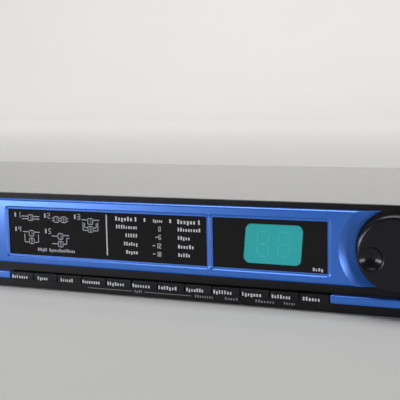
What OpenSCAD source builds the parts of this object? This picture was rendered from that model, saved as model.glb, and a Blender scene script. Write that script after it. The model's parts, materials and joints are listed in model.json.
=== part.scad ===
// One-unit rack effects processor: a 19-inch front panel with a blue moulded bezel, two dark
// windows, a row of twelve push keys, a data wheel and three level knobs, on a folded steel
// chassis that holds the boards, the transformer and the rear connectors.
//
// X runs along the panel, Y runs from the front to the back, Z is up. The sub-parts are placed
// from the front face of the panel (y = 0 there) and at_panel() moves them into the part's frame,
// whose origin is at the bottom centre of the whole unit.

/* [Rack panel] */
// Width of the front panel, ear to ear
panel_w = 482.6; // [482:0.1:483.4]
// Height of the front panel, one rack unit
panel_h = 43.7; // [43.4:0.1:44]
// Thickness of the front panel
panel_t = 2.5; // [2:0.1:3]
// Distance between the two columns of rack slots
slot_pitch_x = 465.1; // [464:0.1:466]
// Distance between the two rack slots of one ear
slot_pitch_z = 31.75; // [31.5:0.05:32]
// Height of a rack slot, twice its end radius
slot_h = 6.8; // [6.2:0.1:7.2]
// End-to-end length of a rack slot
slot_len = 10.3; // [9:0.1:12]

/* [Chassis] */
// Width over the side walls of the tray
tray_w = 434; // [430:1:438]
// Depth from the panel's front face to the rear panel's outer face
chassis_depth = 168; // [166:1:190]
// Thickness of the folded sheet
sheet_t = 1.2; // [1:0.1:1.5]
// Height of the cover's top face
cover_top = 43.4; // [43:0.1:43.6]
// How far the cover's side lips come down
lip_h = 12; // [10:1:16]
// Number of vent slots in each side wall
vent_count = 10; // [4:1:12]

/* [Bezel] */
// How far the blue bezel stands in front of the panel
bezel_proud = 3.2; // [2.8:0.1:3.6]
// Lower edge of the bezel
bezel_z0 = 11.5; // [11.2:0.1:12]
// Upper edge of the bezel
bezel_z1 = 41.4; // [41.1:0.1:41.9]
// Half of the bezel's overall width
bezel_half_w = 214; // [212:1:216]
// Radius of the bezel's long front edges
bezel_round = 1.2; // [0.8:0.1:1.6]
// How far the bezel's face falls back from its middle to its long edges
bezel_crown = 0.5; // [0:0.1:0.8]
// Height of the two trim strips' lower edge
strip_z0 = 4.25; // [4:0.05:4.6]
// Height of the two trim strips' upper edge
strip_z1 = 7.65; // [7.4:0.05:7.9]

/* [Keys] */
// Distance from one key to the next
key_pitch = 12.7; // [12.6:0.05:12.8]
// Gap between two keys
key_gap = 0.5; // [0.4:0.1:0.8]
// Height of a key's face
key_h = 3.4; // [3:0.1:3.5]
// How far a key stands in front of the panel
key_proud = 3; // [2:0.1:3.2]
// Travel of a key
key_travel = 0.6; // [0.3:0.1:0.8]

/* [Wheel and knobs] */
// Radius of the data wheel
wheel_r = 14.8; // [14.4:0.1:15.4]
// How far the data wheel stands in front of the panel
wheel_proud = 8; // [7:0.5:9]
// Radius of the finger dimple at the wheel's face
dimple_r = 4.8; // [4:0.1:4.9]
// Radius of a level knob
knob_r = 7.6; // [7.2:0.1:7.8]
// How far a level knob stands in front of the panel
knob_proud = 9; // [8:0.5:12]
// Distance from one level knob to the next
knob_pitch = 35; // [30:1:36]

/* [Power button] */
// Width of the power button
button_w = 12; // [10:1:14]
// Height of the power button
button_h = 8; // [7:1:9]
// Travel of the power button
button_travel = 3; // [2:0.5:3.5]

/* [Connectors] */
// Radius of the bore of a phone jack
jack_bore_r = 3.2; // [3.2:0.05:3.3]
// Outer radius of a phono socket's sleeve
rca_r = 4.15; // [4.1:0.05:4.2]
// How far a phono socket stands behind the rear panel
rca_proud = 9; // [8:0.5:10]

/* [Hidden] */
$fn = 64;
KEY_COUNT = 12;
KNOB_COUNT = 3;
key_names = [for (i = [1:KEY_COUNT]) str("key_", i)];
knob_names = [for (i = [1:KNOB_COUNT]) str("level_knob_", i)];
pot_shaft_names = [for (i = [1:KNOB_COUNT]) str("pot_shaft_", i)];

cut = 0.5;                    // how far a cutter runs past the face that it opens
fit_gap = 0.3;                // gap round a moving piece
shaft_r = 3;                  // radius of the encoder and potentiometer shafts
shaft_gap = 0.05;             // radial running clearance of those shafts
bushing_r = 3.5;              // radius of their threaded bushings
screw_r = 1.45;               // radius of an M3 screw's shank
screw_hole_r = 1.5;           // radius of its hole
screw_head_r = 2.75;
screw_head_h = 1.8;

// the part's frame: the panel's front face lies this far in front of the origin
panel_y = (knob_proud - chassis_depth - rca_proud) / 2;

// front panel layout
ear_x = [220.5, 221];         // shallow groove in the panel's back where a rack ear begins
mid_z = panel_h / 2;
dial_z = 26.1;                // axis height of the wheel, the knobs and the power button
wheel_x = 127.6;
wheel_hole_r = wheel_r + 1.8;
wheel_scallop_r = [20.2, 22.9]; // floor and rim radius of the bezel's recess round the wheel
wheel_floor = [0.4, 1.5];     // bezel thickness left in that recess, at the hole and at the slope
scallop_floor = 1.2;          // bezel thickness left in a knob's recess
knob_x = [for (i = [0:KNOB_COUNT - 1]) -190 + i * knob_pitch];
knob_hole_r = knob_r + 0.7;
knob_scallop_r = [9.8, 11.6];
button_x = 190;
led_x = 168;
led_r = 1.5;

// windows: the visible openings, the stepped ledge round them and the lens behind it
window_z = [15.8, 36.7];
window_left_x = [-51.4, 48.2];
window_right_x = [50.85, 100.2];
ledge = 0.8;                  // width of the flat ledge round a window
ledge_depth = 0.9;
lens_front = -1.9;
lens_t = 1.5;
lens_margin = 1.1;            // how far a lens reaches behind the bezel
filter_corners = [[67, 20.9], [86.5, 20.8], [87.4, 32], [68, 32]];
filter_round = 2.6;

// keys
key_x = [for (i = [0:KEY_COUNT - 1]) -44.85 + i * key_pitch];
key_w = key_pitch - key_gap;
key_mid_z = 5.8;
key_pin_r = 1.5;
row_end = 0.5;                // gap between the outer keys and the trim strips
key_row_x = [key_x[0] - key_w / 2 - row_end, key_x[KEY_COUNT - 1] + key_w / 2 + row_end];
switch_front = 7.5;           // front face of the key switches

// boards
front_pcb_y = 12;
pcb_t = 1.6;
front_pcb_x = [-58, 142];
main_pcb_x = [-205, 95];
main_pcb_y = [28, 158];
main_pcb_z = 8;
main_top = main_pcb_z + pcb_t;
post_xy = [for (x = [-198, -55, 88]) for (y = [36, 118]) [x, y]];

// rear connectors
rear_z = 20;
wall_in = chassis_depth - sheet_t;
jack_x = [-195, -168, -141, -114, -84];
jack_thread_r = 4.7;
jack_tip = chassis_depth + 5;
rca_x = [-55, -37];
midi_x = [-8, 20];
iec_x = 185;
iec_z = 21;
iec_cavity = [24, 16];        // width and height of the inlet's mouth
iec_floor = chassis_depth - 14.5;

// transformer
core_x = [132, 180];
core_y = [84, 104];
core_z = [sheet_t * 2, 39];
core_mid_y = (core_y[0] + core_y[1]) / 2;
bracket_screw_x = [core_x[0] - 7, core_x[1] + 7];
leg = 8;                      // width of the outer legs and of each winding window
winding_over = 7;             // how far the winding stands out of the core

// ---------------------------------------------------------------- shared shapes

// moves what is drawn from the panel's front face into the part's frame
module at_panel() translate([0, panel_y, 0]) children();

// box from its ranges along the three axes
module block(x, y, z) {
    translate([x[0], y[0], z[0]])
        cube([x[1] - x[0], y[1] - y[0], z[1] - z[0]]);
}

// round bar along Y, centred at p = [x, z]; r is one radius, or the front and back radius
module rod_y(p, r, y) {
    translate([p[0], y[0], p[1]])
        rotate([-90, 0, 0])
            cylinder(r1 = is_list(r) ? r[0] : r, r2 = is_list(r) ? r[1] : r, h = y[1] - y[0]);
}

// hexagon nut along Y with a round bore
module nut_y(p, r, bore_r, y) {
    difference() {
        translate([p[0], y[0], p[1]])
            rotate([-90, 0, 0])
                cylinder(r = r, h = y[1] - y[0], $fn = 6);
        rod_y(p, bore_r, [y[0] - cut, y[1] + cut]);
    }
}

// [y, z] outline drawn across the panel, from x[0] to x[1]
module along_x(x) {
    translate([x[0], 0, 0])
        rotate([90, 0, 90])
            linear_extrude(x[1] - x[0]) children();
}

// quarter circle of points round c, from angle a
function quarter(c, r, a) = [for (i = [0:6]) c + r * [cos(a + 15 * i), sin(a + 15 * i)]];

// outline of a moulding that stands proud of the panel: two rounded edges and a face that may be crowned
CROWN_STEPS = 12;
module moulding_outline(z, proud, r, crown = 0) {
    half = (z[1] - z[0]) / 2 - r;
    edge_y = -proud + crown + r;
    polygon(concat(
        [[0, z[0]]],
        [for (i = [6:-1:0]) quarter([edge_y, z[0] + r], r, 180)[i]],
        [for (i = [1:CROWN_STEPS - 1]) let (t = 2 * i / CROWN_STEPS - 1)
            [-proud + crown * t * t, (z[0] + z[1]) / 2 + t * half]],
        [for (i = [6:-1:0]) quarter([edge_y, z[1] - r], r, 90)[i]],
        [[0, z[1]]]));
}

// plate across Y whose outline is a polygon with round corners
module rounded_plate(centres, r, y) {
    translate([0, y[1], 0])
        rotate([90, 0, 0])
            linear_extrude(y[1] - y[0])
                hull()
                    for (c = centres) translate(c) circle(r, $fn = 32);
}

function corners(x, z, inset) = [
    [x[0] + inset, z[0] + inset], [x[1] - inset, z[0] + inset],
    [x[1] - inset, z[1] - inset], [x[0] + inset, z[1] - inset]];
function grow(range, by) = [range[0] - by, range[1] + by];

// M3 screw along Z, its head on z and its shank going down
module screw_down(x, y, z, shank) {
    translate([x, y, z])
        cylinder(r = screw_head_r, h = screw_head_h);
    translate([x, y, z - shank])
        cylinder(r = screw_r, h = shank + cut / 2);
}

// ---------------------------------------------------------------- front panel and mouldings

// rack slots of both ears
module rack_slots() {
    half = (slot_len - slot_h) / 2;
    for (sx = [-1, 1])
        for (sz = [-1, 1]) {
            x = sx * slot_pitch_x / 2;
            z = mid_z + sz * slot_pitch_z / 2;
            for (side = [-1, 1])
                rod_y([x + side * half, z], slot_h / 2, [-cut, panel_t + cut]);
            block([x - half, x + half], [-cut, panel_t + cut], [z - slot_h / 2, z + slot_h / 2]);
        }
}

module front_panel() {
    through = [-cut, panel_t + cut];
    color("#1b1a1d")
        at_panel()
            difference() {
                block([-panel_w / 2, panel_w / 2], [0, panel_t], [0, panel_h]);
                rack_slots();
                block([-50, 99], through, [17.5, 36]);
                block(key_row_x, through, grow([key_mid_z - key_h / 2, key_mid_z + key_h / 2], fit_gap));
                rod_y([wheel_x, dial_z], bushing_r + 0.1, through);
                for (x = knob_x)
                    rod_y([x, dial_z], bushing_r + 0.1, through);
                block([button_x - button_w / 2 - fit_gap, button_x + button_w / 2 + fit_gap], through,
                      [dial_z - button_h / 2 - fit_gap, dial_z + button_h / 2 + fit_gap]);
                rod_y([led_x, dial_z], led_r + 0.1, through);
                for (sx = [-1, 1]) {
                    for (z = [8, 36])
                        rod_y([sx * 210, z], screw_hole_r, [0.8, panel_t + cut]);
                    block(sx < 0 ? [-ear_x[1], -ear_x[0]] : ear_x,
                          [panel_t - 0.3, panel_t + cut], [-cut, panel_h + cut]);
                }
            }
}

// blue moulding from x[0] to x[1], cut back round the data wheel
module bezel_blank(x) {
    difference() {
        along_x(x) moulding_outline([bezel_z0, bezel_z1], bezel_proud, bezel_round, bezel_crown);
        rod_y([wheel_x, dial_z], [wheel_scallop_r[1], wheel_scallop_r[0]], [-bezel_proud, -wheel_floor[1]]);
        rod_y([wheel_x, dial_z], [wheel_scallop_r[0], wheel_hole_r], [-wheel_floor[1], -wheel_floor[0]]);
        rod_y([wheel_x, dial_z], wheel_scallop_r[1], [-bezel_proud - cut, -bezel_proud]);
        rod_y([wheel_x, dial_z], wheel_hole_r, [-bezel_proud, cut]);
    }
}

// round recess and hole for one level knob
module knob_recess(x) {
    rod_y([x, dial_z], [knob_scallop_r[1], knob_scallop_r[0]], [-bezel_proud, -scallop_floor]);
    rod_y([x, dial_z], knob_scallop_r[1], [-bezel_proud - cut, -bezel_proud]);
    rod_y([x, dial_z], knob_hole_r, [-bezel_proud, cut]);
}

// thin plate round a window, grown by g
module ledge_outline(x, g, y) {
    rounded_plate(corners(grow(x, g), grow(window_z, g), 1.2), 1.2, y);
}

// ledge with sloping sides, window and lens pocket
module window_cut(x) {
    floor_y = -bezel_proud + ledge_depth;
    hull() {
        ledge_outline(x, ledge, [floor_y - 0.01, floor_y]);
        ledge_outline(x, ledge + ledge_depth * 0.9, [-bezel_proud - 0.01, -bezel_proud]);
    }
    block(x, [-bezel_proud, lens_front + cut], window_z);
    block(grow(x, lens_margin), [lens_front, cut], grow(window_z, lens_margin));
}

module bezel_main() {
    color("#3a66bb")
        at_panel()
            difference() {
                bezel_blank([-bezel_half_w, wheel_x]);
                window_cut(window_left_x);
                window_cut(window_right_x);
                for (x = knob_x) knob_recess(x);
            }
}

module bezel_right() {
    color("#3a66bb")
        at_panel()
            difference() {
                bezel_blank([wheel_x, bezel_half_w]);
                block([button_x - button_w / 2 - fit_gap, button_x + button_w / 2 + fit_gap],
                      [-bezel_proud - cut, cut],
                      [dial_z - button_h / 2 - fit_gap, dial_z + button_h / 2 + fit_gap]);
                rod_y([led_x, dial_z], led_r + 0.1, [-bezel_proud - cut, cut]);
            }
}

// blue strips at both ends of the key row
module trim_strips() {
    color("#3a66bb")
        at_panel()
            for (x = [[-bezel_half_w, key_row_x[0]], [key_row_x[1], bezel_half_w]])
                along_x(x) moulding_outline([strip_z0, strip_z1], bezel_proud + 0.1, 0.6);
}

// dark window behind one opening of the bezel
module lens_plate(x) {
    block(grow(x, lens_margin - 0.1), [lens_front, lens_front + lens_t], grow(window_z, lens_margin - 0.1));
}

module lens_left() {
    color("#1d1c1f") at_panel() lens_plate(window_left_x);
}

module lens_right() {
    color("#1d1c1f")
        at_panel()
            difference() {
                lens_plate(window_right_x);
                rounded_plate(filter_corners, filter_round + 0.05,
                              [lens_front - cut, lens_front + lens_t + cut]);
            }
}

// green window in front of the digits
module display_filter() {
    color("#36a09f")
        at_panel()
            rounded_plate(filter_corners, filter_round, [lens_front + 0.02, lens_front + lens_t]);
}

// ---------------------------------------------------------------- display and keys

// two-digit display body with a recess for each digit
module display_module() {
    body_x = [65.5, 89.5];
    color("#d8dcd6")
        at_panel()
            difference() {
                block(body_x, [3, front_pcb_y], [18.5, 34.5]);
                for (i = [0:1])
                    block([67 + 11 * i, 77 + 11 * i], [2, 3.5], [20, 33]);
            }
}

// one small lamp behind every printed name of the windows
module indicator_leds() {
    columns = [-17, 4.5, 18, 21.5];
    color("#c8d0c8")
        at_panel() {
            for (x = columns)
                for (i = [0:3])
                    rod_y([x, 33.2 - 3.8 * i], 1.2, [1, front_pcb_y]);
            rod_y([97, 20], 1.2, [1, front_pcb_y]);
        }
}

module front_pcb() {
    color("#1d6b3c")
        at_panel()
            block(front_pcb_x, [front_pcb_y, front_pcb_y + pcb_t], [2.5, 40.5]);
}

// push switches, each with a guide for its key's pin
module key_switches() {
    color("#3b3b40")
        at_panel()
            for (x = key_x)
                difference() {
                    block([x - 3, x + 3], [switch_front, front_pcb_y], [key_mid_z - 3, key_mid_z + 3]);
                    rod_y([x, key_mid_z], key_pin_r + fit_gap, [switch_front - cut, switch_front + 2.5]);
                }
}

// face, shoulder behind the panel and pin into the switch
module key_cap(x) {
    shoulder_y = panel_t + 0.3;
    z = [key_mid_z - key_h / 2, key_mid_z + key_h / 2];
    color("#202024")
        at_panel() {
            block([x - key_w / 2, x + key_w / 2], [-key_proud, shoulder_y], z);
            block([x - key_w / 2, x + key_w / 2], [shoulder_y, shoulder_y + 1.4], grow(z, 0.8));
            rod_y([x, key_mid_z], key_pin_r, [shoulder_y + 1.2, switch_front + 1]);
        }
}

// ---------------------------------------------------------------- data wheel

module data_wheel() {
    edge = 1.8;
    dimple_sphere_r = 6.4;
    dimple_lift = sqrt(pow(dimple_sphere_r, 2) - pow(dimple_r, 2));
    dimple_at = [-8.6, -2];
    color("#232226")
        at_panel()
            difference() {
                union() {
                    rod_y([wheel_x, dial_z], wheel_r, [-wheel_proud + edge, -0.6]);
                    rod_y([wheel_x, dial_z], [wheel_r - edge, wheel_r],
                          [-wheel_proud, -wheel_proud + edge]);
                }
                translate([wheel_x + dimple_at[0], -wheel_proud - dimple_lift, dial_z + dimple_at[1]])
                    sphere(dimple_sphere_r);
                rod_y([wheel_x, dial_z], 8, [-wheel_proud + 3, 0]);
                rod_y([wheel_x, dial_z], shaft_r + 0.01, [-wheel_proud + 1.4, -wheel_proud + 3 + cut]);
            }
}

module encoder_shaft() {
    color("#b9bcc0")
        at_panel()
            rod_y([wheel_x, dial_z], shaft_r, [-wheel_proud + 1.5, 6.5]);
}

// bushing and body of a rotary component on the panel; the bore guides its shaft
module rotary_body(x, bushing_front, half_w, depth) {
    difference() {
        union() {
            rod_y([x, dial_z], bushing_r, [bushing_front, panel_t + cut]);
            block([x - half_w, x + half_w], [panel_t, panel_t + depth], [dial_z - half_w, dial_z + half_w]);
            for (i = [-1:1])
                block([x + 2.5 * i - 0.4, x + 2.5 * i + 0.4], [panel_t + depth - cut, front_pcb_y],
                      [dial_z - half_w + 0.6, dial_z - half_w + 1.2]);
        }
        rod_y([x, dial_z], shaft_r + shaft_gap, [bushing_front - cut, 7]);
    }
}

module encoder_body() {
    color("#8f9296") at_panel() rotary_body(wheel_x, -4.4, 6.4, 6.5);
}

// ---------------------------------------------------------------- level knobs

// knob with an indicator groove down its face
module level_knob(i) {
    edge = 1;
    p = [knob_x[i], dial_z];
    color("#232226")
        at_panel()
            difference() {
                union() {
                    rod_y(p, knob_r, [-knob_proud + edge, -0.6]);
                    rod_y(p, [knob_r - edge, knob_r], [-knob_proud, -knob_proud + edge]);
                }
                block([p[0] - 0.5, p[0] + 0.5], [-knob_proud - cut, -knob_proud + 0.6],
                      [p[1] + 2, p[1] + knob_r + cut]);
                rod_y(p, 6.4, [-3.4, 0]);
                rod_y(p, shaft_r + 0.01, [-knob_proud + 1.6, -3]);
            }
}

module pot_shaft(i) {
    color("#b9bcc0")
        at_panel()
            rod_y([knob_x[i], dial_z], shaft_r, [-knob_proud + 1.7, 6.5]);
}

module pot_bodies() {
    color("#6f7f6a")
        at_panel()
            for (x = knob_x) rotary_body(x, -2.9, 5.5, 7);
}

// nuts that hold the encoder and the potentiometers on the panel
module control_nuts() {
    color("#c4c7ca")
        at_panel()
            for (x = concat([wheel_x], knob_x))
                nut_y([x, dial_z], 5.8, bushing_r + 0.03, [-2, 0]);
}

// ---------------------------------------------------------------- power button

switch_y = [15, 40];
button_pin_r = 2;

module power_button() {
    shoulder_y = panel_t + 0.5;
    x = [button_x - button_w / 2, button_x + button_w / 2];
    z = [dial_z - button_h / 2, dial_z + button_h / 2];
    color("#202024")
        at_panel() {
            block(x, [-bezel_proud - 2.8, shoulder_y], z);
            block(grow(x, 1.2), [shoulder_y, shoulder_y + 1.4], grow(z, 1.2));
            rod_y([button_x, dial_z], button_pin_r, [shoulder_y + 1.2, switch_y[0] + 2]);
        }
}

module power_switch() {
    color("#2c2c30")
        at_panel()
            difference() {
                union() {
                    block([button_x - 8, button_x + 8], switch_y, [dial_z - 7, dial_z + 7]);
                    block([button_x - 6, button_x + 6], [switch_y[0] + 4, switch_y[1] - 4],
                          [sheet_t, dial_z - 7 + cut]);
                    for (sx = [-1, 1])
                        block([button_x + 4 * sx - 0.4, button_x + 4 * sx + 0.4],
                              [switch_y[1] - cut, switch_y[1] + 6], [dial_z - 3, dial_z + 1]);
                }
                rod_y([button_x, dial_z], button_pin_r + fit_gap, [switch_y[0] - cut, switch_y[0] + 7]);
            }
}

module power_led() {
    color("#b03030")
        at_panel() {
            rod_y([led_x, dial_z], led_r, [-bezel_proud - 0.3, 8]);
            rod_y([led_x, dial_z], led_r + 0.5, [panel_t, 3.5]);
        }
}

// ---------------------------------------------------------------- chassis

cover_screw_y = [20, 85, 150];
cover_screw_z = 36.5;

module chassis_tray() {
    tray_top = cover_top - sheet_t - 0.2;
    half = tray_w / 2;
    color("#26262a")
        at_panel()
            difference() {
                union() {
                    block([-half, half], [panel_t, chassis_depth], [0, sheet_t]);
                    for (sx = [-1, 1]) {
                        block(sx < 0 ? [-half, -half + sheet_t] : [half - sheet_t, half],
                              [panel_t, chassis_depth], [0, tray_top]);
                        block(sx < 0 ? [-half, 12 - half] : [half - 12, half],
                              [panel_t, panel_t + sheet_t], [0, tray_top]);
                    }
                }
                for (x = bracket_screw_x)
                    translate([x, core_mid_y, -cut]) cylinder(r = screw_hole_r, h = 3);
                for (sx = [-1, 1]) {
                    wall = grow([sx * (half - sheet_t / 2), sx * (half - sheet_t / 2)],
                                sheet_t / 2 + cut);
                    for (i = [0:vent_count - 1])
                        block(wall, [96 + 5 * i, 98.6 + 5 * i], [9, 27]);
                    for (y = cover_screw_y)
                        translate([wall[0], y, cover_screw_z])
                            rotate([0, 90, 0])
                                cylinder(r = screw_hole_r, h = wall[1] - wall[0]);
                    for (z = [8, 36])
                        rod_y([sx * 210, z], screw_hole_r, [panel_t - cut, panel_t + sheet_t + cut]);
                }
            }
}

module top_cover() {
    half = tray_w / 2 + 0.1;
    out = half + sheet_t;
    lip_z = [cover_top - lip_h, cover_top];
    rear_lip = [chassis_depth, chassis_depth + sheet_t];
    color("#2b2a2d")
        at_panel()
            difference() {
                union() {
                    block([-out, out], [panel_t, rear_lip[1]], [cover_top - sheet_t, cover_top]);
                    block([-out, -half], [panel_t, rear_lip[1]], lip_z);
                    block([half, out], [panel_t, rear_lip[1]], lip_z);
                    block([-out, out], rear_lip, [cover_top - 6, cover_top]);
                }
                for (y = cover_screw_y)
                    translate([-out - cut, y, cover_screw_z])
                        rotate([0, 90, 0])
                            cylinder(r = screw_hole_r + 0.1, h = 2 * out + 2 * cut);
                for (x = [-180, 0, 140])
                    rod_y([x, cover_top - 3.4], screw_hole_r + 0.1, grow(rear_lip, cut));
            }
}

module rear_panel() {
    half = tray_w / 2 - sheet_t;
    top = cover_top - sheet_t;
    color("#26262a")
        at_panel()
            difference() {
                union() {
                    block([-half, half], [wall_in, chassis_depth], [sheet_t, top]);
                    block([-half, half], [wall_in - 10, chassis_depth], [sheet_t, sheet_t * 2]);
                }
                for (x = jack_x)
                    rod_y([x, rear_z], jack_thread_r + 0.1, [wall_in - cut, chassis_depth + cut]);
                for (x = rca_x)
                    rod_y([x, rear_z], rca_r + 0.5, [wall_in - cut, chassis_depth + cut]);
                for (x = midi_x)
                    rod_y([x, rear_z], 8, [wall_in - cut, chassis_depth + cut]);
                block([iec_x - 13.8, iec_x + 13.8], [wall_in - cut, chassis_depth + cut],
                      [iec_z - 10.1, iec_z + 10.1]);
                for (x = [-180, 0, 140])
                    rod_y([x, cover_top - 3.4], screw_hole_r, [wall_in - cut, chassis_depth + cut]);
            }
}

// M3 screws of the cover: three in each side and three in the back
module cover_screws() {
    out = tray_w / 2 + 0.1 + sheet_t;
    color("#3a3a3e")
        at_panel() {
            for (sx = [-1, 1])
                for (y = cover_screw_y)
                    translate([sx * out, y, cover_screw_z])
                        rotate([0, 90 * sx, 0]) {
                            cylinder(r = screw_head_r, h = screw_head_h);
                            translate([0, 0, -5]) cylinder(r = screw_r, h = 5 + cut);
                        }
            for (x = [-180, 0, 140]) {
                head_y = chassis_depth + sheet_t;
                rod_y([x, cover_top - 3.4], screw_head_r, [head_y, head_y + screw_head_h]);
                rod_y([x, cover_top - 3.4], screw_r, [chassis_depth - 4, head_y + cut]);
            }
        }
}

// ---------------------------------------------------------------- boards

module main_pcb() {
    color("#1d6b3c")
        at_panel()
            difference() {
                block(main_pcb_x, main_pcb_y, [main_pcb_z, main_top]);
                for (p = post_xy)
                    translate([p[0], p[1], main_pcb_z - cut])
                        cylinder(r = screw_hole_r + 0.1, h = pcb_t + 2 * cut);
            }
}

module standoffs() {
    color("#c9b26a")
        at_panel()
            for (p = post_xy)
                translate([p[0], p[1], sheet_t])
                    difference() {
                        cylinder(r = 3.2, h = main_pcb_z - sheet_t, $fn = 6);
                        translate([0, 0, 1]) cylinder(r = screw_hole_r, h = main_pcb_z);
                    }
}

// M3 screws inside: the main board's, the transformer bracket's and the panel's
module internal_screws() {
    color("#b9bcc0")
        at_panel() {
            for (p = post_xy) screw_down(p[0], p[1], main_top, 5);
            for (x = bracket_screw_x) screw_down(x, core_mid_y, sheet_t * 2, 2);
            for (sx = [-1, 1])
                for (z = [8, 36]) {
                    head_y = panel_t + sheet_t;
                    rod_y([sx * 210, z], screw_r, [1, head_y + cut]);
                    rod_y([sx * 210, z], screw_head_r, [head_y, head_y + screw_head_h]);
                }
        }
}

// signal processor, memories, converters and logic
module ic_chips() {
    color("#1c1c1f")
        at_panel() {
            block([-34, -6], [82, 110], [main_top, main_top + 3]);
            for (i = [0:3])
                block([8 + 16 * i, 18 + 16 * i], [78, 98], [main_top, main_top + 3.6]);
            for (i = [0:4])
                block([-190 + 27 * i, -180 + 27 * i], [100, 112], [main_top, main_top + 2.4]);
            block([-100, -84], [70, 86], [main_top, main_top + 2.6]);
        }
}

module electrolytic_caps() {
    color("#28324a")
        at_panel() {
            for (y = [70, 92, 114])
                translate([76, y, main_top]) cylinder(r = 8, h = 25);
            for (i = [0:9])
                translate([-192 + 12 * i, 126, main_top]) cylinder(r = 2.5, h = 7);
        }
}

// finned heat sink at the board's power end
module heat_sink() {
    color("#2b2c2f")
        at_panel() {
            block([40, 90], [46, 49], [main_top, 36]);
            for (i = [0:8])
                block([40 + 6 * i, 42 + 6 * i], [49 - cut, 58], [main_top, 36]);
        }
}

module regulators() {
    color("#303034")
        at_panel()
            for (x = [50, 66, 82]) {
                block([x - 5, x + 5], [41.6, 46], [main_top + 6, main_top + 15]);
                block([x - 5, x + 5], [44.8, 46], [main_top + 15 - cut, main_top + 21]);
                for (i = [-1:1])
                    block(grow([x + 2.5 * i, x + 2.5 * i], 0.4), [43.6, 44.2],
                          [main_top, main_top + 6 + cut]);
            }
}

// ---------------------------------------------------------------- transformer

module transformer_core() {
    window_z2 = [core_z[0] + leg, core_z[1] - leg];
    color("#6d6f73")
        at_panel()
            difference() {
                block(core_x, core_y, core_z);
                for (x = [core_x[0] + leg, core_x[1] - 2 * leg])
                    block([x, x + leg], grow(core_y, cut), window_z2);
            }
}

module transformer_winding() {
    coil_z = [core_z[0] + leg + 0.2, core_z[1] - leg - 0.2];
    color("#b0803a")
        at_panel()
            difference() {
                block([core_x[0] + leg + 0.2, core_x[1] - leg - 0.2], grow(core_y, winding_over), coil_z);
                block([core_x[0] + 2 * leg, core_x[1] - 2 * leg], core_y, grow(coil_z, cut));
            }
}

module transformer_bracket() {
    color("#b9bcc0")
        at_panel()
            difference() {
                block(grow(core_x, 14), [88, 100], [sheet_t, sheet_t * 2]);
                for (x = bracket_screw_x)
                    translate([x, core_mid_y, 0]) cylinder(r = screw_hole_r, h = 4);
            }
}

// ---------------------------------------------------------------- rear connectors

module iec_inlet() {
    mouth_x = [iec_x - iec_cavity[0] / 2, iec_x + iec_cavity[0] / 2];
    mouth_z = [iec_z - iec_cavity[1] / 2, iec_z + iec_cavity[1] / 2];
    color("#1f1f22")
        at_panel()
            difference() {
                union() {
                    block(grow(mouth_x, 1.5), [iec_floor - 4, chassis_depth + cut], grow(mouth_z, 1.7));
                    block(grow(mouth_x, 3.6), [chassis_depth, chassis_depth + 2.2], grow(mouth_z, 4.2));
                }
                block(mouth_x, [iec_floor, chassis_depth + 3], mouth_z);
            }
}

// contact blades of the inlet, with their solder lugs behind
module iec_pins() {
    places = [[-7, -2], [7, -2], [0, 2]];
    color("#d0c48a")
        at_panel()
            for (p = places) {
                block([iec_x + p[0] - 1, iec_x + p[0] + 1], [iec_floor, chassis_depth - 1],
                      [iec_z + p[1] - 2, iec_z + p[1] + 2]);
                block([iec_x + p[0] - 1, iec_x + p[0] + 1], [iec_floor - 10, iec_floor - 4],
                      [iec_z + p[1] - 2, iec_z + p[1] + 2]);
            }
}

// quarter-inch phone jacks: body on the board, threaded bushing through the rear panel
module audio_jacks() {
    color("#1f1f22")
        at_panel()
            for (x = jack_x)
                difference() {
                    union() {
                        block([x - 8, x + 8], [140, wall_in], [main_top, rear_z + 9]);
                        rod_y([x, rear_z], jack_thread_r, [wall_in - cut, jack_tip]);
                    }
                    rod_y([x, rear_z], jack_bore_r, [143, jack_tip + cut]);
                }
}

module jack_nuts() {
    color("#c4c7ca")
        at_panel()
            for (x = jack_x)
                nut_y([x, rear_z], 7.2, jack_thread_r + 0.03, [chassis_depth, chassis_depth + 2.4]);
}

// phono sockets of the digital input and output
module rca_sockets() {
    color("#c9a23c")
        at_panel()
            for (x = rca_x)
                difference() {
                    union() {
                        rod_y([x, rear_z], rca_r - 0.3, [wall_in - cut, chassis_depth + 1.6]);
                        rod_y([x, rear_z], 5.6, [chassis_depth, chassis_depth + 1.2]);
                        rod_y([x, rear_z], rca_r, [chassis_depth + 1.5, chassis_depth + rca_proud]);
                        block([x - 5, x + 5], [150, wall_in], [main_top, rear_z + 5]);
                    }
                    rod_y([x, rear_z], 1.6, [155, chassis_depth + rca_proud + cut]);
                }
}

// five-pin DIN sockets
module midi_sockets() {
    face = chassis_depth + 0.6;
    color("#1f1f22")
        at_panel()
            for (x = midi_x)
                difference() {
                    union() {
                        block([x - 10, x + 10], [148, wall_in], [main_top, rear_z + 10]);
                        rod_y([x, rear_z], 7.8, [wall_in - cut, face]);
                    }
                    difference() {
                        rod_y([x, rear_z], 6.9, [face - 8, face + cut]);
                        rod_y([x, rear_z], 6, [face - 9, face + 1]);
                    }
                    for (a = [0, 45, 90, 135, 180])
                        rod_y([x + 4 * cos(a), rear_z + 4 * sin(a)], 0.8, [face - 7, face + cut]);
                }
}

// ---------------------------------------------------------------- wiring

ribbon_x = [-22, 22];
ribbon_z = 24;
ribbon_y = [front_pcb_y + pcb_t + 7, 44];
ribbon_bend = 4;
ribbon_t = 0.9;

// plug-in headers at both ends of the ribbon cable
module board_headers() {
    color("#d9d6c8")
        at_panel() {
            block(grow(ribbon_x, 2), [front_pcb_y + pcb_t, ribbon_y[0]], [ribbon_z - 3.5, ribbon_z + 3.5]);
            block(grow(ribbon_x, 2), [ribbon_y[1] - 3.5, ribbon_y[1] + 3.5], [main_top, main_top + 7]);
        }
}

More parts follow.
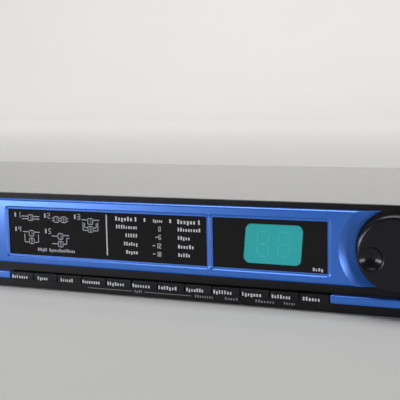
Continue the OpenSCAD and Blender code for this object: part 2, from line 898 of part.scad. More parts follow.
// flat cable: back from the front board, round a bend and down to the main board
module ribbon_cable() {
    bend_at = [ribbon_y[1] - ribbon_bend, ribbon_z - ribbon_bend];
    outer = ribbon_bend + ribbon_t / 2;
    inner = ribbon_bend - ribbon_t / 2;
    color("#a8a8a6")
        at_panel()
            along_x(ribbon_x)
                polygon(concat(
                    [[ribbon_y[0], ribbon_z + ribbon_t / 2]],
                    [for (i = [6:-1:0]) quarter(bend_at, outer, 0)[i]],
                    [[ribbon_y[1] + ribbon_t / 2, main_top + 7],
                     [ribbon_y[1] - ribbon_t / 2, main_top + 7]],
                    quarter(bend_at, inner, 0),
                    [[ribbon_y[0], ribbon_z - ribbon_t / 2]]));
}

// eight-sided wire through a list of points; side is a direction that the route never takes
WIRE_SIDES = 8;
function unit(v) = v / norm(v);
function heading(points, i) =
    unit(points[min(i + 1, len(points) - 1)] - points[max(i - 1, 0)]);
function wire_ring(centre, along, side, r) =
    let (u = unit(cross(along, side)), v = cross(along, u))
    [for (k = [0:WIRE_SIDES - 1])
        let (turn = 360 * k / WIRE_SIDES)
        centre + r * (cos(turn) * u + sin(turn) * v)];

module wire(points, side, r) {
    rings = [for (i = [0:len(points) - 1]) wire_ring(points[i], heading(points, i), side, r)];
    last = (len(points) - 1) * WIRE_SIDES;
    walls = [for (i = [0:len(points) - 2]) for (k = [0:WIRE_SIDES - 1])
        let (a = i * WIRE_SIDES + k, b = i * WIRE_SIDES + (k + 1) % WIRE_SIDES)
        [a, b, b + WIRE_SIDES, a + WIRE_SIDES]];
    start = [for (k = [WIRE_SIDES - 1:-1:0]) k];
    end = [for (k = [0:WIRE_SIDES - 1]) last + k];
    polyhedron(points = [for (ring = rings) each ring], faces = concat([start], walls, [end]));
}

// mains pair from the inlet to the switch, and the pair from the transformer to the board
module internal_wires() {
    lug_y = iec_floor - 10;
    switch_lug_y = switch_y[1] + 6;
    coil_y = core_y[0] - winding_over;
    color("#a03434")
        at_panel() {
            for (sx = [-1, 1])
                wire([[iec_x + 7 * sx, lug_y, iec_z - 2], [iec_x + 7 * sx, lug_y - 4, iec_z - 2],
                      [iec_x + 7 * sx, lug_y - 8, 15], [iec_x + 4 + 5 * sx, lug_y - 14, 9],
                      [button_x + 5 * sx, switch_lug_y + 16, 9], [button_x + 4 * sx, switch_lug_y + 11, 14],
                      [button_x + 4 * sx, switch_lug_y + 7, 23], [button_x + 4 * sx, switch_lug_y + 3, 25],
                      [button_x + 4 * sx, switch_lug_y, 25]],
                     [1, 0, 0], 1.2);
            for (i = [0:1]) {
                run_y = coil_y - 6 - 4 * i;
                coil_x = core_x[0] + 12 + 7 * i;
                wire([[coil_x, coil_y, 18], [coil_x, coil_y - 2, 18], [coil_x - 1, run_y + 2, 18],
                      [coil_x - 5, run_y, 18], [98, run_y, 18], [92, run_y, 17],
                      [90, run_y, 15], [90, run_y, main_top]], [1, -1, 1], 1);
            }
        }
}

front_panel();
bezel_main();
bezel_right();
trim_strips();
lens_left();
lens_right();
display_filter();
display_module();
indicator_leds();
front_pcb();
key_switches();
for (i = [0:KEY_COUNT - 1])
    key_cap(key_x[i]);
data_wheel();
encoder_shaft();
encoder_body();
for (i = [0:KNOB_COUNT - 1])
    level_knob(i);
for (i = [0:KNOB_COUNT - 1])
    pot_shaft(i);
pot_bodies();
control_nuts();
power_button();
power_switch();
power_led();
chassis_tray();
top_cover();
rear_panel();
main_pcb();
ic_chips();
electrolytic_caps();
heat_sink();
regulators();
transformer_core();
transformer_winding();
transformer_bracket();
iec_inlet();
iec_pins();
audio_jacks();
jack_nuts();
rca_sockets();
midi_sockets();
standoffs();
internal_screws();
cover_screws();
board_headers();
ribbon_cable();
internal_wires();
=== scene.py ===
"""Looks of the rack effects unit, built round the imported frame.

Lengths in the drawing functions are millimetres, measured as on the object: x along the panel from
its middle, y back from the panel's front face and z up from the surface. at() turns them into the
frame's metres.
"""
import json
import math
import random

import bmesh
import bpy
from mathutils import Matrix, Vector


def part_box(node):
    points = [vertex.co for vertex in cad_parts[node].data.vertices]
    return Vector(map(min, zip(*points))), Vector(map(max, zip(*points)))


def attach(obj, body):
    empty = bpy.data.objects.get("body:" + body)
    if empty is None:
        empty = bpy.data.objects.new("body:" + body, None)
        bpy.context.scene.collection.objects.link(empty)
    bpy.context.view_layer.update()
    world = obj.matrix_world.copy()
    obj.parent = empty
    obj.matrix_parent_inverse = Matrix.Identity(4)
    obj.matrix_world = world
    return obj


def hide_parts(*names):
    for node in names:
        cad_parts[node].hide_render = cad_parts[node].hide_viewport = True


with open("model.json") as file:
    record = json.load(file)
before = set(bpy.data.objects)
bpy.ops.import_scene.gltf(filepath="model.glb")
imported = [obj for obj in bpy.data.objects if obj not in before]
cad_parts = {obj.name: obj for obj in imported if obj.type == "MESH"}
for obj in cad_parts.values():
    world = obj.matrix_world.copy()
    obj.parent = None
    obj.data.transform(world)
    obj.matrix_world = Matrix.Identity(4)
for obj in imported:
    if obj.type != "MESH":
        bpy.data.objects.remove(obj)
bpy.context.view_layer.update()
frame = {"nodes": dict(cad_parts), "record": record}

MM = 0.001
PANEL_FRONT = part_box("front_panel")[0].y
scene = bpy.context.scene
SLOT_OF = {part["node"]: part["material_slot"] for part in frame["record"]["subparts"]}
BODY_OF = {node: body for body, nodes in frame["record"]["behaviour"]["bodies"].items() for node in nodes}


# measures that the drawn pieces share with the part
DIAL_Z = 26.1
KNOB_X = (-190, -155, -120)
LENS_FACE = -1.9
BEZEL = {"proud": 3.2, "crown": 0.5, "z": (12.7, 40.2)}
WHEEL = {"x": 127.6, "r": 14.8, "front": -8.0, "back": -0.6, "edge": 1.8}
DIMPLE = {"x": 119.0, "z": 24.1, "r": 4.8, "sphere_r": 6.4, "soft": 0.13}


def at(x, y, z):
    """A place on the object, given in its own millimetres, in the frame's metres."""
    return Vector((x * MM, PANEL_FRONT + y * MM, z * MM))


def front_of(node):
    """Front face of a CAD node, in millimetres from the panel's front face."""
    return (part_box(node)[0].y - PANEL_FRONT) / MM


# ---------------------------------------------------------------- camera

CAMERA_PLACE = (202.55, -348.74, 88.66)
CAMERA_YAW, CAMERA_PITCH, CAMERA_ROLL = 24.39, 6.75, -1.13
CAMERA_LENS = 82.93


def make_camera():
    yaw, pitch, roll = (math.radians(a) for a in (CAMERA_YAW, CAMERA_PITCH, CAMERA_ROLL))
    forward = Vector((-math.sin(yaw) * math.cos(pitch), math.cos(yaw) * math.cos(pitch), -math.sin(pitch)))
    level = Vector((math.cos(yaw), math.sin(yaw), 0))
    upright = level.cross(forward)
    right = level * math.cos(roll) + upright * math.sin(roll)
    up = upright * math.cos(roll) - level * math.sin(roll)
    data = bpy.data.cameras.new("camera")
    data.lens = CAMERA_LENS
    data.sensor_width = 36
    data.clip_start, data.clip_end = 0.01, 50
    camera = bpy.data.objects.new("camera", data)
    turn = Matrix((right, up, -forward)).transposed().to_4x4()
    camera.matrix_world = Matrix.Translation(at(*CAMERA_PLACE)) @ turn
    scene.collection.objects.link(camera)
    scene.camera = camera


# ---------------------------------------------------------------- materials

def surface(name, colour, roughness, metallic=0.0, mottle=0.12, mottle_size=14.0, grain=0.15,
            grain_size=0.35, rough_spread=0.08, specks=0.0, coat=0.0, coat_roughness=0.12,
            specular=0.5, emission=0.0):
    """Procedural finish: mottled colour, uneven roughness, a fine grain in relief, a few specks and, where
    emission is given, a painted glow.

    mottle_size and grain_size are the features' widths in millimetres, grain is the relief's strength.
    """
    material = bpy.data.materials.new(name)
    material.use_nodes = True
    nodes, links = material.node_tree.nodes, material.node_tree.links
    shader = nodes["Principled BSDF"]
    shader.inputs["Metallic"].default_value = metallic
    shader.inputs["Specular IOR Level"].default_value = specular
    shader.inputs["Coat Weight"].default_value = coat
    shader.inputs["Coat Roughness"].default_value = coat_roughness
    place = nodes.new("ShaderNodeTexCoord").outputs["Object"]

    def noise(size, detail):
        node = nodes.new("ShaderNodeTexNoise")
        node.inputs["Scale"].default_value = 1 / (size * MM)
        node.inputs["Detail"].default_value = detail
        links.new(place, node.inputs["Vector"])
        return node.outputs["Fac"]

    def spread(fac, low, high):
        node = nodes.new("ShaderNodeMapRange")
        node.inputs["From Min"].default_value, node.inputs["From Max"].default_value = 0.3, 0.7
        node.inputs["To Min"].default_value, node.inputs["To Max"].default_value = low, high
        links.new(fac, node.inputs["Value"])
        return node.outputs["Result"]

    def mix(fac, first, second):
        node = nodes.new("ShaderNodeMix")
        node.data_type = "RGBA"
        links.new(fac, node.inputs["Factor"])
        for socket, value in ((node.inputs[6], first), (node.inputs[7], second)):
            if isinstance(value, tuple):
                socket.default_value = (*value, 1)
            else:
                links.new(value, socket)
        return node.outputs[2]

    dark = tuple(c * (1 - mottle) for c in colour)
    light = tuple(min(1, c * (1 + mottle)) for c in colour)
    tint = mix(spread(noise(mottle_size, 4), 0, 1), dark, light)
    if specks:
        dust = tuple(min(1, c + 0.16) for c in colour)
        threshold = nodes.new("ShaderNodeMapRange")
        threshold.inputs["From Min"].default_value, threshold.inputs["From Max"].default_value = 0.70, 0.76
        threshold.inputs["To Max"].default_value = specks
        links.new(noise(1.1, 2), threshold.inputs["Value"])
        tint = mix(threshold.outputs["Result"], tint, dust)
    links.new(tint, shader.inputs["Base Color"])
    # emission makes the surface glow in its own tint: a painted glow that brightens a part that is no lamp
    if emission:
        links.new(tint, shader.inputs["Emission Color"])
        shader.inputs["Emission Strength"].default_value = emission
    links.new(spread(noise(mottle_size * 0.6, 3), roughness - rough_spread, roughness + rough_spread),
              shader.inputs["Roughness"])
    if grain:
        bump = nodes.new("ShaderNodeBump")
        bump.inputs["Strength"].default_value = grain
        bump.inputs["Distance"].default_value = grain_size * 0.3 * MM
        links.new(noise(grain_size, 3), bump.inputs["Height"])
        links.new(bump.outputs["Normal"], shader.inputs["Normal"])
    return material


def make_finishes():
    """One material for each slot of the record, and a few for the printed marks."""
    return {
        "panel_black": surface("panel_black", (0.005, 0.0045, 0.0055), 0.42, grain=0.25, grain_size=0.3,
                               specks=0.08, specular=0.2),
        "chassis_black": surface("chassis_black", (0.012, 0.0115, 0.012), 0.30, grain=0, mottle=0.08,
                                 rough_spread=0.01, specular=1.0, coat=0.9, coat_roughness=0.24),
        "bezel_blue": surface("bezel_blue", (0.007, 0.128, 0.57), 0.30, metallic=0.45, mottle=0.03,
                              grain=0.06, grain_size=0.22, coat=1.0, coat_roughness=0.33, rough_spread=0.02),
        "window_black": surface("window_black", (0.006, 0.0053, 0.0062), 0.12, grain=0.02, grain_size=1.5,
                                mottle=0.1, rough_spread=0.03, specks=0.08, specular=0.2),
        # the display is unlit: emission 0.05 is a painted glow that makes the green filter brighter than the
        # lamps light it
        "display_green": surface("display_green", (0.028, 0.345, 0.355), 0.30, grain=0.04, mottle=0.02,
                                 mottle_size=5, rough_spread=0.04, emission=0.05, specular=0.2),
        "display_body": surface("display_body", (0.60, 0.62, 0.58), 0.55),
        "lamp_clear": surface("lamp_clear", (0.60, 0.64, 0.60), 0.2, grain=0.05),
        "lamp_red": surface("lamp_red", (0.32, 0.015, 0.012), 0.15, grain=0.03, coat=0.5),
        "board_green": surface("board_green", (0.015, 0.12, 0.045), 0.35, mottle=0.25, mottle_size=4),
        "black_plastic": surface("black_plastic", (0.015, 0.015, 0.016), 0.45, grain=0.25, grain_size=0.25),
        "key_black": surface("key_black", (0.005, 0.005, 0.0065), 0.30, grain=0.1, grain_size=0.2,
                             specks=0.05, specular=0.25),
        "wheel_black": surface("wheel_black", (0.005, 0.0045, 0.007), 0.22, grain=0.05, grain_size=0.18,
                               mottle=0.12, rough_spread=0.02, specks=0.04, specular=0.3),
        "bright_steel": surface("bright_steel", (0.55, 0.56, 0.57), 0.3, metallic=1, grain=0.1, mottle=0.08),
        "zinc_body": surface("zinc_body", (0.42, 0.43, 0.44), 0.45, metallic=1, grain=0.3),
        "nickel": surface("nickel", (0.66, 0.65, 0.62), 0.2, metallic=1, grain=0.06, mottle=0.05),
        "chip_black": surface("chip_black", (0.014, 0.014, 0.015), 0.55, grain=0.3, grain_size=0.15),
        "capacitor_sleeve": surface("capacitor_sleeve", (0.02, 0.03, 0.07), 0.25, grain=0.05),
        "anodised_black": surface("anodised_black", (0.02, 0.02, 0.022), 0.4, metallic=0.6, grain=0.2),
        "core_steel": surface("core_steel", (0.22, 0.22, 0.23), 0.5, metallic=0.8, grain=0.6, grain_size=0.5),
        "winding_tape": surface("winding_tape", (0.55, 0.30, 0.06), 0.35, grain=0.2, grain_size=2.0),
        "contact_brass": surface("contact_brass", (0.72, 0.50, 0.19), 0.25, metallic=1, grain=0.08),
        "screw_black": surface("screw_black", (0.02, 0.02, 0.022), 0.35, metallic=0.5, grain=0.2),
        "header_ivory": surface("header_ivory", (0.70, 0.67, 0.56), 0.5, grain=0.1),
        "ribbon_grey": surface("ribbon_grey", (0.38, 0.38, 0.37), 0.5, grain=0.3, grain_size=1.2),
        "wire_red": surface("wire_red", (0.30, 0.02, 0.02), 0.4, grain=0.1),
        "print_white": surface("print_white", (0.50, 0.51, 0.54), 0.5, grain=0.1, mottle=0.06, mottle_size=3),
        "print_pale": surface("print_pale", (0.36, 0.37, 0.42), 0.5, grain=0.1, mottle=0.08, mottle_size=3),
        "print_grey": surface("print_grey", (0.20, 0.20, 0.22), 0.5, grain=0.1, mottle=0.08, mottle_size=3),
        # the unlit segments carry the same painted glow as the green filter (emission 0.05)
        "ghost_green": surface("ghost_green", (0.040, 0.385, 0.395), 0.32, grain=0.04, mottle=0.02,
                               emission=0.05, specular=0.2),
    }


def make_stage_material():
    return surface("studio_paper", (0.45, 0.445, 0.435), 0.8, mottle=0.01, mottle_size=400, grain=0.05,
                   grain_size=1.5, specular=0.1)


# ---------------------------------------------------------------- pieces from the frame

def add_piece(name, mesh, material, body="root"):
    piece = bpy.data.objects.new(name, mesh)
    scene.collection.objects.link(piece)
    mesh.materials.clear()
    mesh.materials.append(material)
    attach(piece, body)
    return piece


def refine(node, width, segments=3, angle=32, clamp=True):
    """Stands a copy of a CAD node with rounded edges in the node's place."""
    mesh = frame["nodes"][node].data.copy()
    shape = bmesh.new()
    shape.from_mesh(mesh)
    bmesh.ops.remove_doubles(shape, verts=shape.verts, dist=2e-6)
    bmesh.ops.dissolve_limit(shape, angle_limit=math.radians(0.3), verts=shape.verts, edges=shape.edges)
    for face in shape.faces:
        face.smooth = True
    clean = bpy.data.meshes.new(node + "_body")
    shape.to_mesh(clean)
    shape.free()
    bpy.data.meshes.remove(mesh)
    piece = add_piece(node + "_body", clean, FINISH[SLOT_OF[node]], BODY_OF[node])
    bevel = piece.modifiers.new("round", "BEVEL")
    bevel.width = width * MM
    bevel.segments = segments
    bevel.limit_method = "ANGLE"
    bevel.angle_limit = math.radians(angle)
    bevel.use_clamp_overlap = clamp
    weigh = piece.modifiers.new("even_faces", "WEIGHTED_NORMAL")
    weigh.mode = "FACE_AREA"
    weigh.weight = 100
    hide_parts(node)


EDGE_ROUND = {
    "front_panel": 0.35, "trim_strips": 0.3,
    "lens_left": 0.15, "lens_right": 0.15, "display_filter": 0.2, "power_button": 0.5,
    "chassis_tray": 0.35, "top_cover": 0.4, "rear_panel": 0.25, "iec_inlet": 0.4,
    "audio_jacks": 0.3, "jack_nuts": 0.4, "rca_sockets": 0.35, "midi_sockets": 0.25,
    "power_led": 0.3,
}


def refine_shell():
    for node, width in EDGE_ROUND.items():
        refine(node, width)
    for node in ("bezel_main", "bezel_right"):
        refine(node, 0.12, segments=2, angle=24, clamp=False)
    for node in frame["nodes"]:
        if node.startswith("key_") and node != "key_switches":
            refine(node, 0.3)
        if node.startswith("level_knob"):
            refine(node, 0.4)


def dimple_depth(x, z):
    """How far the wheel's face is sunk at [x, z]: a ball's print with a softly rounded rim."""
    reach = math.hypot(x - DIMPLE["x"], z - DIMPLE["z"])
    if reach > DIMPLE["r"] + 1.6:
        return 0.0
    lift = math.sqrt(DIMPLE["sphere_r"] ** 2 - DIMPLE["r"] ** 2)
    ball = math.sqrt(max(0.0, DIMPLE["sphere_r"] ** 2 - reach ** 2)) - lift
    return DIMPLE["soft"] * math.log1p(math.exp(ball / DIMPLE["soft"]))


def make_wheel():
    """The data wheel turned as one profile: rounded front edge, finger dimple and hollow back."""
    segments, ring_step = 192, 0.3
    r, edge, front = WHEEL["r"], WHEEL["edge"], WHEEL["front"]
    rings = int((r - edge) / ring_step)
    profile = [((r - edge) * i / rings, front) for i in range(1, rings + 1)]
    profile += [(r - edge + edge * math.sin(a), front + edge - edge * math.cos(a))
                for a in (math.radians(10 * i) for i in range(1, 10))]
    profile += [(r, y) for y in (-5.5, -4, -2.5, -1.0)]
    profile += [(r - 0.12, -0.68), (r - 0.4, WHEEL["back"])]
    profile += [(8, WHEEL["back"]), (8, front + 3), (3.05, front + 3), (3.05, front + 2.9)]
    shape = bmesh.new()
    rows = []
    for radius, y in profile:
        row = []
        for k in range(segments):
            a = 2 * math.pi * k / segments
            x, z = WHEEL["x"] + radius * math.cos(a), DIAL_Z + radius * math.sin(a)
            sunk = dimple_depth(x, z) if y < front + edge else 0.0
            row.append(shape.verts.new(at(x, y + sunk, z)))
        rows.append(row)
    for first, second in zip(rows, rows[1:]):
        for k in range(segments):
            after = (k + 1) % segments
            shape.faces.new((first[k], first[after], second[after], second[k]))
    for row, y in ((rows[0], front), (rows[-1], front + 2.9)):
        tip = shape.verts.new(at(WHEEL["x"], y, DIAL_Z))
        for k in range(segments):
            shape.faces.new((tip, row[(k + 1) % segments], row[k]))
    bmesh.ops.recalc_face_normals(shape, faces=shape.faces)
    for face in shape.faces:
        face.smooth = True
    for joint in shape.edges:
        if joint.is_manifold and joint.calc_face_angle() > math.radians(35):
            joint.smooth = False
    mesh = bpy.data.meshes.new("data_wheel_body")
    shape.to_mesh(mesh)
    shape.free()
    wheel = add_piece("data_wheel_body", mesh, FINISH["wheel_black"], "data_wheel")
    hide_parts("data_wheel")


def paint_inner_nodes():
    """Every CAD node that is still shown gets its slot's finish."""
    for node, obj in frame["nodes"].items():
        obj.data.materials.clear()
        obj.data.materials.append(FINISH[SLOT_OF[node]])


# ---------------------------------------------------------------- printed marks

PRINT_THICK = 0.03


def prisms(name, outlines, face_y, material, body="root"):
    """Thin printed marks: each [x, z] outline becomes a closed plate on the plane y = face_y.

    face_y may be a list with a value for each outline.
    """
    shape = bmesh.new()
    for n, outline in enumerate(outlines):
        y = face_y[n] if isinstance(face_y, list) else face_y
        front = [shape.verts.new(at(x, y - PRINT_THICK, z)) for x, z in outline]
        back = [shape.verts.new(at(x, y, z)) for x, z in outline]
        shape.faces.new(front)
        shape.faces.new(back[::-1])
        for i, corner in enumerate(front):
            after = (i + 1) % len(front)
            shape.faces.new((front[after], corner, back[i], back[after]))
    bmesh.ops.recalc_face_normals(shape, faces=shape.faces)
    mesh = bpy.data.meshes.new(name)
    shape.to_mesh(mesh)
    shape.free()
    add_piece(name, mesh, material, body)


def stroke(x0, z0, x1, z1, width):
    """Outline of a straight stroke from one point to another."""
    along = Vector((x1 - x0, z1 - z0)).normalized() * width / 2
    side = Vector((-along.y, along.x))
    start, end = Vector((x0, z0)) - along, Vector((x1, z1)) + along
    return [tuple(p) for p in (start + side, start - side, end - side, end + side)]


def path(points, width):
    return [stroke(*points[i], *points[i + 1], width) for i in range(len(points) - 1)]


def frame_strokes(x0, x1, z0, z1, width):
    return path([(x0, z0), (x1, z0), (x1, z1), (x0, z1), (x0, z0)], width)


def word(x0, x1, z_mid, height, count, rng):
    """A word as a row of plain blocks, some of them taller or cut low, with nothing to read."""
    pitch = (x1 - x0) / count
    blocks = []
    for i in range(count):
        low, high = z_mid - height * 0.36, z_mid + height * 0.36
        if i == 0 or rng.random() < 0.25:
            high = z_mid + height * 0.62
        elif rng.random() < 0.15:
            low = z_mid - height * 0.6
        left = x0 + i * pitch
        right = left + pitch * rng.uniform(0.45, 0.62)
        blocks.append([(left, low), (right, low), (right, high), (left, high)])
    return blocks


SEGMENTS = {
    "0": "abcdef", "1": "bc", "2": "abged", "3": "abgcd", "4": "fgbc", "5": "afgcd",
    "6": "afgedc", "7": "abc", "8": "abcdefg", "9": "abcdfg", "-": "g",
}


def digit(char, x, z, w, h, width, lean=0.0, gap=0.0):
    """Seven-segment figure whose lower left corner is (x, z); gap parts the segments of a display."""
    ends = {
        "a": ((0, 2), (1, 2)), "b": ((1, 1), (1, 2)), "c": ((1, 0), (1, 1)), "d": ((0, 0), (1, 0)),
        "e": ((0, 0), (0, 1)), "f": ((0, 1), (0, 2)), "g": ((0, 1), (1, 1)),
    }
    marks = []
    for name in SEGMENTS[char]:
        (ax, az), (bx, bz) = ends[name]
        start = (x + ax * w + lean * az * h / 2, z + az * h / 2)
        end = (x + bx * w + lean * bz * h / 2, z + bz * h / 2)
        if gap:
            run = Vector(end) - Vector(start)
            trim = run.normalized() * (width / 2 + gap)
            start, end = tuple(Vector(start) + trim), tuple(Vector(end) - trim)
        marks.append(stroke(*start, *end, width))
    return marks


def number(text, x_right, z, w, h, width):
    """Seven-segment number that ends at x_right."""
    step = w * 1.7
    marks = []
    for i, char in enumerate(reversed(text)):
        marks += digit(char, x_right - w - i * step, z, w, h, width)
    return marks


def routing_box(x, z, size, char, width):
    """One square of a routing drawing, with its figure inside."""
    marks = frame_strokes(x - size / 2, x + size / 2, z - size / 2, z + size / 2, width)
    return marks + digit(char, x - size * 0.13, z - size * 0.24, size * 0.26, size * 0.48, width * 0.8)


ICON_LINE = 0.34
BOX = 2.5


def routing_drawings():
    """Five small signal-path drawings, each with its number."""
    marks = []
    for char, x, z in (("1", -48.3, 32.9), ("2", -32.2, 33.0), ("3", -16.4, 33.1),
                       ("4", -48.2, 26.3), ("5", -32.0, 26.0)):
        marks.append([(x, z + 0.1), (x + 0.8, z + 0.1), (x + 0.8, z + 2.1), (x, z + 2.1)])
        marks += digit(char, x + 1.9, z, 1.1, 2.2, ICON_LINE)
    # 1: one block on a stereo pair
    x, z = -39.6, 32.9
    marks += routing_box(x, z, BOX, "1", ICON_LINE)
    for dz in (-0.6, 0.6):
        marks += path([(x - 4.6, z + dz), (x - BOX / 2, z + dz)], ICON_LINE)
        marks += path([(x + BOX / 2, z + dz), (x + 4.6, z + dz)], ICON_LINE)
    # 2: two blocks one after the other
    x, z = -23.8, 32.6
    marks += routing_box(x - 1.9, z, BOX, "1", ICON_LINE) + routing_box(x + 1.9, z, BOX, "2", ICON_LINE)
    for dz in (-0.6, 0.6):
        marks += path([(x - 4.2, z + dz), (x - 1.9 - BOX / 2, z + dz)], ICON_LINE)
        marks += path([(x + 1.9 + BOX / 2, z + dz), (x + 4.2, z + dz)], ICON_LINE)
        marks += path([(x - 1.9 + BOX / 2, z + dz), (x + 1.9 - BOX / 2, z + dz)], ICON_LINE)
    # 3 and 4: two blocks side by side, fed and mixed in two ways
    for x, z, reach in ((-8.1, 32.4, 4.4), (-39.4, 25.7, 4.3)):
        marks += routing_box(x, z, BOX, "1", ICON_LINE) + routing_box(x, z - 3.5, BOX, "2", ICON_LINE)
        marks += path([(x - reach, z + 0.6), (x - BOX / 2, z + 0.6)], ICON_LINE)
        marks += path([(x + BOX / 2, z + 0.6), (x + reach, z + 0.6)], ICON_LINE)
        for side in (-1, 1):
            bend = x + side * (reach - 0.6)
            ends = [(bend, z - 0.6), (bend, z - 4.1), (x + side * BOX / 2, z - 4.1)]
            marks += path(ends, ICON_LINE)
    marks += path([(-11.1, 31.4), (-11.1, 29.6), (-9.35, 29.6)], ICON_LINE)
    marks += path([(-6.85, 29.6), (-5.1, 29.6), (-5.1, 31.4)], ICON_LINE)
    # 5: two separate mono paths
    x, z = -23.9, 25.0
    marks += routing_box(x, z, BOX, "1", ICON_LINE) + routing_box(x, z - 3.5, BOX, "2", ICON_LINE)
    for dz in (0, -3.5):
        marks += path([(x - 4.4, z + dz), (x - BOX / 2, z + dz)], ICON_LINE)
    marks += path([(x + BOX / 2, z + 0.5), (x + 4.4, z + 0.5)], ICON_LINE)
    bend = x + 3.2
    marks += path([(x + BOX / 2, z - 3.5), (bend, z - 3.5), (bend, z - 0.7), (x + 4.4, z - 0.7)], ICON_LINE)
    return marks


ROW_Z = (30.5, 26.9, 23.2, 19.6)


def left_window_print(rng):
    marks = routing_drawings()
    marks += word(-36.2, -31.0, 18.3, 1.5, 6, rng) + word(-30.0, -16.2, 18.3, 1.5, 13, rng)
    prisms("left_window_drawings", marks, LENS_FACE, FINISH["print_pale"])
    marks = word(4.6, 13.4, 34.0, 1.9, 6, rng) + word(14.2, 15.7, 34.0, 1.9, 1, rng)
    marks += word(34.6, 43.4, 33.8, 1.9, 6, rng) + word(44.2, 45.8, 33.8, 1.9, 1, rng)
    for z, first, second in zip(ROW_Z, ((4.9, 15.7, 9), (9.5, 15.7, 5), (8.6, 15.7, 6), (9.6, 15.7, 5)),
                                ((34.7, 45.6, 9), (34.7, 40.7, 5), (34.7, 42.4, 6), (34.7, 40.6, 5))):
        marks += word(*first[:2], z, 1.6, first[2], rng)
        marks += word(*second[:2], z, 1.6, second[2], rng)
    marks += word(23.1, 27.7, 33.8, 1.35, 5, rng)
    marks += word(18.6, 20.0, 33.9, 1.6, 1, rng) + word(30.8, 32.4, 33.9, 1.6, 1, rng)
    for z, text in zip(ROW_Z, ("0", "-6", "-12", "-18")):
        marks += number(text, 26.5, z - 0.9, 0.85, 1.8, 0.32)
    prisms("left_window_names", marks, LENS_FACE, FINISH["print_white"])
    prisms("window_divider", [stroke(0.1, 18.0, 0.1, 35.4, 0.55)], LENS_FACE, FINISH["print_white"])


def right_window_print(rng):
    prisms("right_window_name", word(94.0, 98.6, 17.1, 1.3, 4, rng), LENS_FACE, FINISH["print_white"])


def ghost_digits():
    """The display's unlit segments, just visible through the green window."""
    marks = []
    for x in (70.2, 79.2):
        marks += digit("8", x, 21.5, 4.8, 10.0, 0.8, lean=0.08, gap=0.9)
    prisms("display_ghost", marks, front_of("display_filter"), FINISH["ghost_green"])


# where each key's label and each legend starts and ends, and its number of blocks
KEY_LABELS = ((-50.3, -41.3, 7), (-36.2, -30.6, 5), (-23.9, -17.1, 6), (-12.5, -3.3, 8), (0.3, 9.1, 7),
              (12.8, 21.7, 7), (25.4, 34.5, 7), (38.6, 46.9, 7), (51.1, 59.8, 7), (64.0, 72.8, 7),
              (76.9, 85.3, 7), (90.1, 97.6, 6))
LEGENDS = ((12.1, 16.2, 4), (41.2, 50.0, 8), (55.0, 61.3, 5), (68.7, 77.4, 7), (81.1, 86.2, 5))
LEGEND_LINES = ((-11.6, 10.8), (17.0, 39.3))
LABEL_Z, LEGEND_Z = 5.2, 2.0


def key_print(rng):
    for i, (x0, x1, blocks) in enumerate(KEY_LABELS, start=1):
        key = f"key_{i}"
        label = word(x0, x1, LABEL_Z, 1.55, blocks, rng)
        prisms(key + "_label", label, front_of(key), FINISH["print_white"], key)
    marks = []
    for x0, x1, blocks in LEGENDS:
        marks += word(x0, x1, LEGEND_Z, 1.2, blocks, rng)
    for x0, x1 in LEGEND_LINES:
        marks.append(stroke(x0, LEGEND_Z + 0.05, x1, LEGEND_Z + 0.05, 0.25))
    prisms("panel_legends", marks, 0, FINISH["print_grey"])


def bezel_face(z):
    """Front of the bezel at a height: its face falls back a little from the middle to the long edges."""
    low, high = BEZEL["z"]
    reach = (z - (low + high) / 2) / ((high - low) / 2)
    return BEZEL["crown"] * reach ** 2 - BEZEL["proud"]


POINTER_GROOVE = 0.6


def knob_print():
    """Scale round each level knob, and the painted line in the knob's groove."""
    for i, x in enumerate(KNOB_X, start=1):
        marks, faces = [], []
        for step in range(11):
            a = math.radians(-150 + 30 * step)
            near, far = (12.2, 13.4) if step % 5 == 0 else (12.4, 13.2)
            right, up = math.sin(a), math.cos(a)
            start, end = (x + near * right, DIAL_Z + near * up), (x + far * right, DIAL_Z + far * up)
            marks.append(stroke(*start, *end, 0.35))
            faces.append(bezel_face(DIAL_Z + (near + far) / 2 * math.cos(a)))
        prisms(f"level_scale_{i}", marks, faces, FINISH["print_white"])
        face = front_of(f"level_knob_{i}") + POINTER_GROOVE
        prisms(f"level_pointer_{i}", [stroke(x, DIAL_Z + 2.4, x, DIAL_Z + 6.6, 0.7)], face,
               FINISH["print_white"], f"level_knob_{i}")


# ---------------------------------------------------------------- stage and light

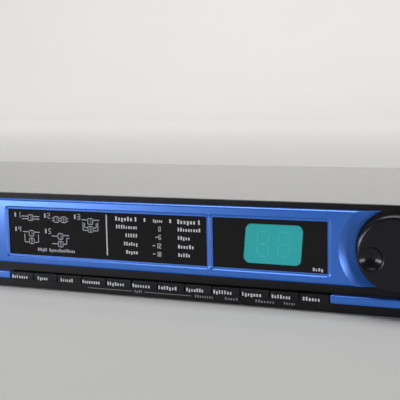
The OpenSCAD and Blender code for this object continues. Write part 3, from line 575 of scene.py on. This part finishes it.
def make_stage(material):
    """Paper sweep: a wide floor that curves up into a wall far behind the unit."""
    half_width, front, bend_y, radius, top = 6.0, -4.0, 2.2, 1.0, 3.6
    profile = [(front, 0.0)]
    profile += [(bend_y + radius * math.sin(a), radius - radius * math.cos(a))
                for a in (math.radians(6 * i) for i in range(16))]
    profile.append((bend_y + radius, top))
    shape = bmesh.new()
    rows = [[shape.verts.new((x, y, z)) for x in (-half_width, half_width)] for y, z in profile]
    for first, second in zip(rows, rows[1:]):
        face = shape.faces.new((first[0], first[1], second[1], second[0]))
        face.smooth = True
    mesh = bpy.data.meshes.new("studio_sweep")
    shape.to_mesh(mesh)
    shape.free()
    mesh.materials.append(material)
    sweep = bpy.data.objects.new("studio_sweep", mesh)
    scene.collection.objects.link(sweep)


def area_light(name, place, aim, size, power, colour=(1, 1, 1)):
    data = bpy.data.lights.new(name, "AREA")
    data.shape = "RECTANGLE"
    data.size, data.size_y = size
    data.energy = power
    data.color = colour
    light = bpy.data.objects.new(name, data)
    light.location = place
    light.rotation_mode = "QUATERNION"
    light.rotation_quaternion = (Vector(aim) - Vector(place)).to_track_quat("-Z", "Y")
    scene.collection.objects.link(light)


def make_lights():
    world = bpy.data.worlds.new("studio")
    world.use_nodes = True
    world.node_tree.nodes["Background"].inputs["Color"].default_value = (0.84, 0.87, 0.92, 1)
    world.node_tree.nodes["Background"].inputs["Strength"].default_value = 0.10
    scene.world = world
    area_light("overhead", (-0.1, -0.1, 1.5), (-0.1, 0.05, 0), (1.5, 1.0), 24)
    area_light("window_left", (-1.6, -1.15, 0.20), (0, 0, 0.05), (1.7, 0.36), 27, (0.95, 0.97, 1.0))
    area_light("window_right", (1.4, -1.0, 0.20), (0.1, 0, 0.03), (0.75, 0.36), 10)
    area_light("backdrop_wash", (-1.3, 1.4, 1.9), (-1.3, 3.0, 0.5), (5.5, 0.8), 124)


make_camera()
FINISH = make_finishes()
make_stage(make_stage_material())
make_lights()
paint_inner_nodes()
refine_shell()
make_wheel()
rng = random.Random(7)
left_window_print(rng)
right_window_print(rng)
ghost_digits()
key_print(rng)
knob_print()

scene.view_settings.view_transform = "Standard"
